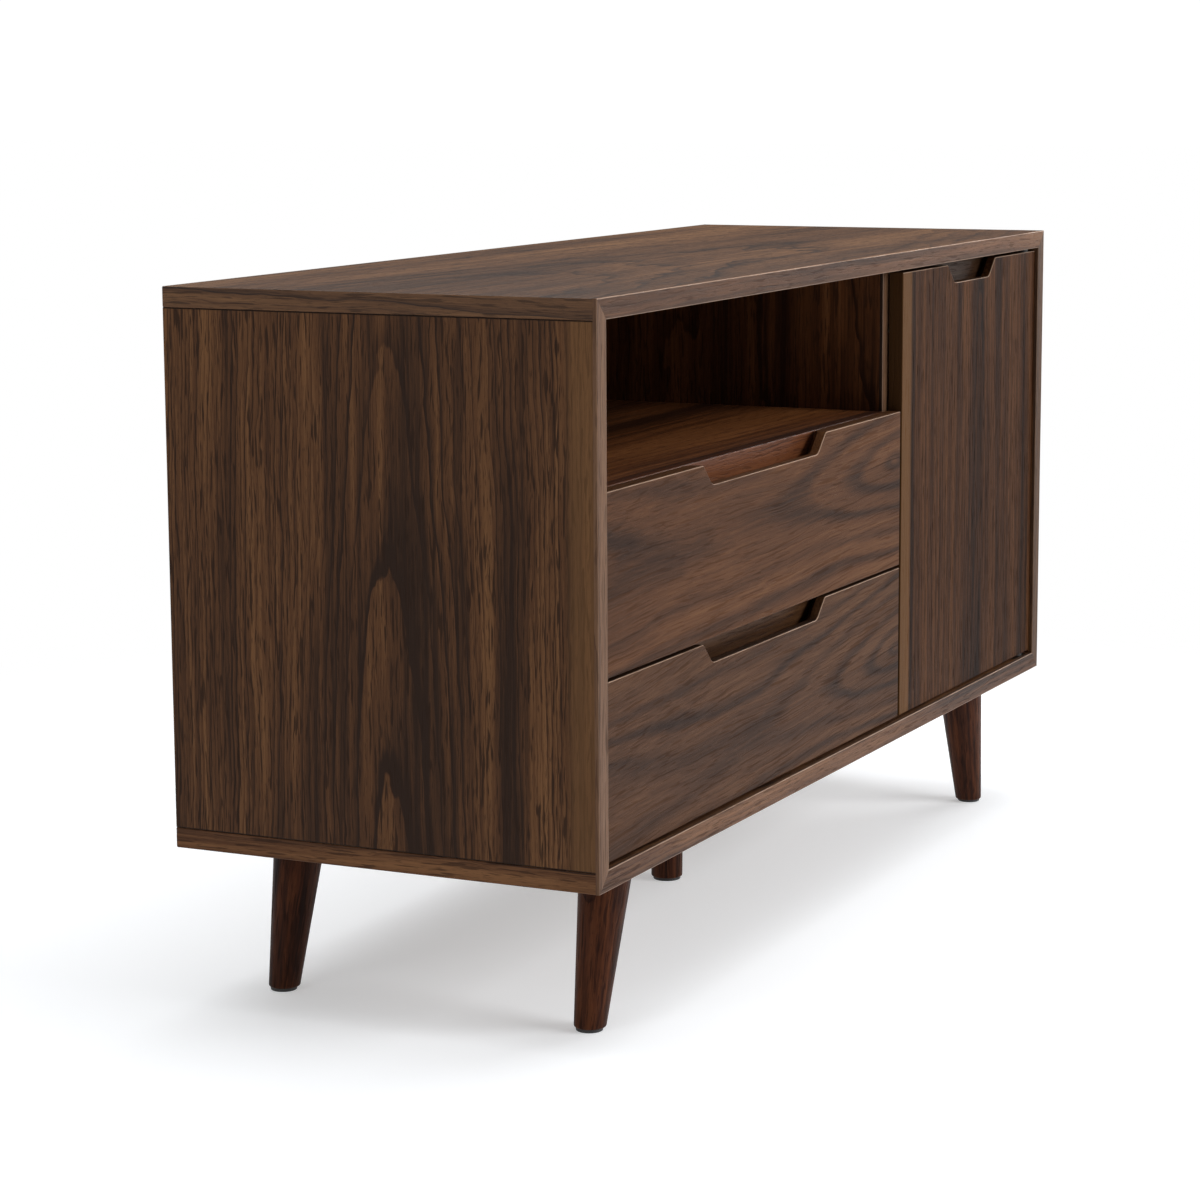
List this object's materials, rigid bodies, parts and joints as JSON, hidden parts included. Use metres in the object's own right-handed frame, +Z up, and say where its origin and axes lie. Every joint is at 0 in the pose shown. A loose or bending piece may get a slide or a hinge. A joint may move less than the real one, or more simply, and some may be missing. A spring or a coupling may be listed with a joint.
{
  "type": "sideboard buffet",
  "caption": "Low walnut sideboard on turned legs, with an open cubby over two full-extension drawers and a pivot-hung cupboard door.",
  "frame": {"origin": "on the floor, under the middle of the carcass", "axes": "+Z up, +X to the right seen from the front, the front faces -Y"},
  "size_m": [1.2, 0.432, 0.665],
  "materials": {
    "top_veneer": "oiled walnut veneer, satin",
    "bottom_veneer": "oiled walnut veneer, satin",
    "side_veneer": "oiled walnut veneer, satin",
    "inner_veneer": "oiled walnut veneer, satin",
    "back_veneer": "walnut veneer, matt",
    "drawer_front_veneer": "oiled walnut veneer, satin",
    "door_veneer": "oiled walnut veneer, satin",
    "solid_edging": "solid walnut, satin",
    "leg_walnut": "solid walnut, satin",
    "beech": "plain",
    "birch_ply": "clear matt lacquer",
    "zinc_steel": "bright zinc",
    "black_steel": "black powder coat",
    "magnet_steel": "nickel plated",
    "brown_plastic": "moulded",
    "black_nylon": "moulded nylon",
    "dark_rubber": "soft polyurethane"
  },
  "bodies": {
    "carcass": {"top_panel": "top_veneer", "bottom_panel": "bottom_veneer", "left_side_panel": "side_veneer", "right_side_panel": "side_veneer", "partition_panel": "inner_veneer", "cubby_shelf": "inner_veneer", "drawer_rail": "solid_edging", "shelf_nosing": "solid_edging", "back_panel": "back_veneer", "top_lipping": "solid_edging", "bottom_lipping": "solid_edging", "left_lipping": "solid_edging", "right_lipping": "solid_edging", "partition_lipping": "solid_edging", "carcass_dowels": "beech", "leg_front_left": "leg_walnut", "leg_front_right": "leg_walnut", "leg_rear_left": "leg_walnut", "leg_rear_right": "leg_walnut", "leg_centre": "leg_walnut", "leg_plates": "black_steel", "leg_bolts": "zinc_steel", "leg_glides": "black_nylon", "leg_plate_screws": "zinc_steel", "runner_cabinet_members": "zinc_steel", "runner_cabinet_screws": "zinc_steel", "pivot_plates": "black_steel", "pivot_plate_screws": "black_steel", "door_stop": "solid_edging", "catch_barrel": "brown_plastic", "catch_magnet": "magnet_steel", "cupboard_shelf": "inner_veneer", "shelf_pins": "zinc_steel"},
    "door": {"door_panel": "door_veneer", "pivot_bushes": "black_nylon", "strike_plate": "zinc_steel", "strike_plate_screw": "zinc_steel", "door_bumpers": "dark_rubber"},
    "upper_drawer": {"upper_drawer_front": "drawer_front_veneer", "upper_drawer_left_side": "birch_ply", "upper_drawer_right_side": "birch_ply", "upper_drawer_box_front": "birch_ply", "upper_drawer_box_back": "birch_ply", "upper_drawer_bottom": "birch_ply", "upper_drawer_screws": "zinc_steel", "upper_drawer_runner_members": "zinc_steel"},
    "upper_drawer_middles": {"upper_drawer_runner_middles": "zinc_steel"},
    "upper_drawer_outer_cages": {"upper_drawer_outer_ball_cages": "zinc_steel"},
    "upper_drawer_inner_cages": {"upper_drawer_inner_ball_cages": "zinc_steel"},
    "lower_drawer": {"lower_drawer_front": "drawer_front_veneer", "lower_drawer_left_side": "birch_ply", "lower_drawer_right_side": "birch_ply", "lower_drawer_box_front": "birch_ply", "lower_drawer_box_back": "birch_ply", "lower_drawer_bottom": "birch_ply", "lower_drawer_screws": "zinc_steel", "lower_drawer_runner_members": "zinc_steel"},
    "lower_drawer_middles": {"lower_drawer_runner_middles": "zinc_steel"},
    "lower_drawer_outer_cages": {"lower_drawer_outer_ball_cages": "zinc_steel"},
    "lower_drawer_inner_cages": {"lower_drawer_inner_ball_cages": "zinc_steel"}
  },
  "joints": [
    {"name": "door_swing", "type": "hinge", "parent": "carcass", "child": "door", "pos_m": [0.5565, -0.2045, 0.4075], "axis": [0, 0, 1], "range_deg": [0, 100]},
    {"name": "upper_drawer_slide", "type": "slide", "parent": "carcass", "child": "upper_drawer", "axis": [0, -1, 0], "range_m": [0, 0.33]},
    {"name": "upper_drawer_outer_cages_slide", "type": "slide", "parent": "carcass", "child": "upper_drawer_outer_cages", "axis": [0, -1, 0], "range_m": [0, 0.0825]},
    {"name": "upper_drawer_middles_slide", "type": "slide", "parent": "carcass", "child": "upper_drawer_middles", "axis": [0, -1, 0], "range_m": [0, 0.165]},
    {"name": "upper_drawer_inner_cages_slide", "type": "slide", "parent": "carcass", "child": "upper_drawer_inner_cages", "axis": [0, -1, 0], "range_m": [0, 0.2475]},
    {"name": "lower_drawer_slide", "type": "slide", "parent": "carcass", "child": "lower_drawer", "axis": [0, -1, 0], "range_m": [0, 0.33]},
    {"name": "lower_drawer_outer_cages_slide", "type": "slide", "parent": "carcass", "child": "lower_drawer_outer_cages", "axis": [0, -1, 0], "range_m": [0, 0.0825]},
    {"name": "lower_drawer_middles_slide", "type": "slide", "parent": "carcass", "child": "lower_drawer_middles", "axis": [0, -1, 0], "range_m": [0, 0.165]},
    {"name": "lower_drawer_inner_cages_slide", "type": "slide", "parent": "carcass", "child": "lower_drawer_inner_cages", "axis": [0, -1, 0], "range_m": [0, 0.2475]}
  ],
  "couplings": [
    {"joint": "upper_drawer_outer_cages_slide", "follows": "upper_drawer_slide", "ratio": 0.25},
    {"joint": "upper_drawer_middles_slide", "follows": "upper_drawer_slide", "ratio": 0.5},
    {"joint": "upper_drawer_inner_cages_slide", "follows": "upper_drawer_slide", "ratio": 0.75},
    {"joint": "lower_drawer_outer_cages_slide", "follows": "lower_drawer_slide", "ratio": 0.25},
    {"joint": "lower_drawer_middles_slide", "follows": "lower_drawer_slide", "ratio": 0.5},
    {"joint": "lower_drawer_inner_cages_slide", "follows": "lower_drawer_slide", "ratio": 0.75}
  ]
}
